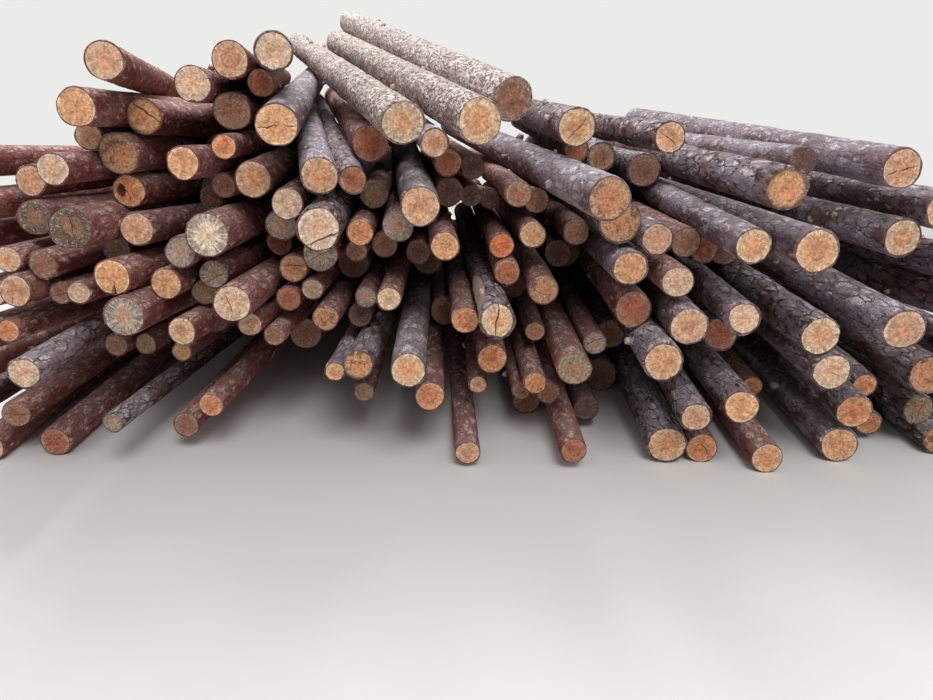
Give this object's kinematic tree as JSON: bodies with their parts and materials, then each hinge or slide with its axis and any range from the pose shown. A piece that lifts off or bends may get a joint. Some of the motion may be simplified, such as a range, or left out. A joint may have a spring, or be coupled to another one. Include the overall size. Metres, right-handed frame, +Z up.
{
  "type": "log stack",
  "caption": "Roadside stack of round softwood logs with sawn ends, piled loose in one bay with sloping sides.",
  "frame": {"origin": "bottom centre of the box round the whole stack, on the ground", "axes": "+Z up, +X to the right along the row of cut ends, +Y from the cut ends seen in the picture to the far ends"},
  "size_m": [5.0468, 4.9794, 2.2123],
  "materials": {
    "log": "matte"
  },
  "bodies": {
    "root": {"inner_logs_1": "log", "inner_logs_2": "log", "left_low_logs_1": "log", "left_low_logs_2": "log", "left_low_logs_3": "log", "left_middle_logs_1": "log", "left_middle_logs_2": "log", "left_side_logs_1": "log", "left_top_logs_1": "log", "left_top_logs_2": "log", "middle_logs_1": "log", "middle_logs_2": "log", "middle_logs_3": "log", "middle_low_logs_1": "log", "middle_low_logs_2": "log", "middle_low_logs_3": "log", "middle_top_logs_1": "log", "middle_top_logs_2": "log", "middle_top_logs_3": "log", "right_low_logs_1": "log", "right_low_logs_2": "log", "right_low_logs_3": "log", "right_middle_logs_1": "log", "right_middle_logs_2": "log", "right_middle_logs_3": "log", "right_side_logs_1": "log", "right_top_logs_1": "log", "right_top_logs_2": "log"}
  },
  "joints": []
}
